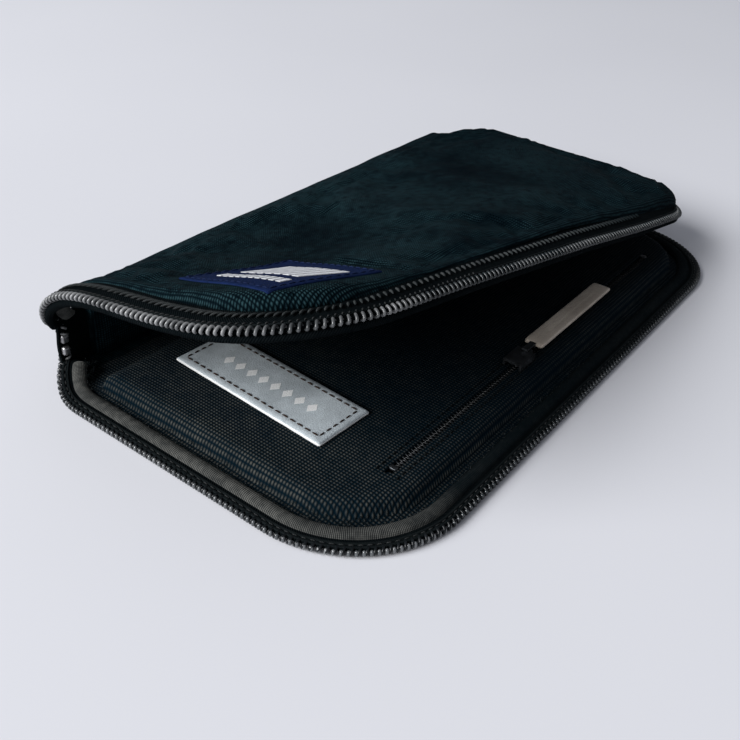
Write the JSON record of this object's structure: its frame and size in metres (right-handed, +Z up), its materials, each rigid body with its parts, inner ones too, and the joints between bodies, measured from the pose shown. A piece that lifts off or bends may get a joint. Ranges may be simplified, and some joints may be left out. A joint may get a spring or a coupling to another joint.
{
  "type": "zippered pouch",
  "caption": "Slim zip-around fabric pouch in two padded halves joined by a soft spine, with a coil zip on three sides and an inner zip pocket.",
  "frame": {"origin": "middle of the flat underside of the base", "axes": "+X along the long side towards the end where the slider rests, +Y towards the spine, +Z up from the surface it lies on"},
  "size_m": [0.2118, 0.1198, 0.058],
  "materials": {
    "outer_canvas": "waxed plain-weave canvas, near black",
    "inner_canvas": "coarse plain-weave canvas, charcoal",
    "stiffener": "thin board",
    "foam": "closed-cell padding",
    "pocket_cloth": "thin lining cloth",
    "binding": "ribbed grosgrain, warm dark grey",
    "zip_tape": "black twill tape",
    "zip_coil": "gunmetal nylon coil",
    "stop_metal": "bright crimped metal",
    "grey_leather": "silvery grey leather with pale cut edges",
    "brown_thread": "dark brown running stitch",
    "woven_label": "navy woven damask with a white motif",
    "navy_thread": "navy stitching",
    "slider_metal": "gunmetal die casting",
    "tan_leather": "pale tan leather"
  },
  "bodies": {
    "base": {"base_cover": "outer_canvas", "base_board": "stiffener", "base_foam": "foam", "base_lining": "inner_canvas", "base_binding": "binding", "base_zip_tape": "zip_tape", "base_zip_coil": "zip_coil", "pocket_sheet": "pocket_cloth", "inner_zip_tape": "zip_tape", "inner_zip_coil": "zip_coil", "inner_zip_stops": "stop_metal", "maker_label": "grey_leather", "maker_label_stitching": "brown_thread"},
    "spine": {"spine_cover": "outer_canvas", "spine_board": "stiffener", "spine_lining": "inner_canvas", "zip_end_tabs": "zip_tape", "zip_top_stops": "stop_metal", "zip_bottom_stop": "stop_metal"},
    "lid_far": {"lid_cover_far": "outer_canvas", "lid_foam_far": "foam", "lid_lining_far": "inner_canvas", "lid_binding_far": "binding", "lid_zip_tape_far": "zip_tape", "lid_zip_coil_far": "zip_coil"},
    "lid_mid": {"lid_cover_mid": "outer_canvas", "lid_foam_mid": "foam", "lid_lining_mid": "inner_canvas", "lid_binding_mid": "binding", "lid_zip_tape_mid": "zip_tape", "lid_zip_coil_mid": "zip_coil"},
    "lid_near": {"lid_cover_near": "outer_canvas", "lid_foam_near": "foam", "lid_lining_near": "inner_canvas", "lid_binding_near": "binding", "lid_zip_tape_near": "zip_tape", "lid_zip_coil_near": "zip_coil", "woven_label": "woven_label", "woven_label_stitching": "navy_thread"},
    "slider": {"slider_body": "slider_metal"},
    "slider_tab": {"slider_pull": "slider_metal"},
    "pocket_slider": {"inner_slider_body": "slider_metal"},
    "pocket_pull": {"inner_pull_ring": "slider_metal", "inner_pull_strip": "tan_leather"}
  },
  "joints": [
    {"name": "spine_fold", "type": "hinge", "parent": "base", "child": "spine", "pos_m": [0, 0.055, 0.005], "axis": [-1, 0, 0], "range_deg": [-1.5, 78]},
    {"name": "lid_fold", "type": "hinge", "parent": "spine", "child": "lid_far", "pos_m": [0, 0.055, 0.017], "axis": [-1, 0, 0], "range_deg": [-1.5, 78]},
    {"name": "lid_twist", "type": "hinge", "parent": "lid_far", "child": "lid_near", "pos_m": [0, 0.055, 0.017], "axis": [-1, 0, 0], "range_deg": [-22.8, 0]},
    {"name": "lid_twist_mid", "type": "hinge", "parent": "lid_far", "child": "lid_mid", "pos_m": [0, 0.055, 0.017], "axis": [-1, 0, 0], "range_deg": [-11.4, 0]},
    {"name": "slider_travel", "type": "slide", "parent": "spine", "child": "slider", "axis": [0, -1, 0], "range_m": [0, 0.025]},
    {"name": "slider_pull_swing", "type": "hinge", "parent": "slider", "child": "slider_tab", "pos_m": [0.1043, 0.047, 0.0085], "axis": [0, 0, 1], "range_deg": [0, 170]},
    {"name": "pocket_slider_travel", "type": "slide", "parent": "base", "child": "pocket_slider", "axis": [1, 0, 0], "range_m": [-0.053, 0.046]},
    {"name": "pocket_pull_swing", "type": "hinge", "parent": "pocket_slider", "child": "pocket_pull", "pos_m": [-0.0104, -0.04, 0.0075], "axis": [0, 0, 1], "range_deg": [-12, 12]}
  ],
  "couplings": [
    {"joint": "lid_fold", "follows": "spine_fold", "ratio": 1},
    {"joint": "lid_twist_mid", "follows": "lid_twist", "ratio": 0.5}
  ]
}
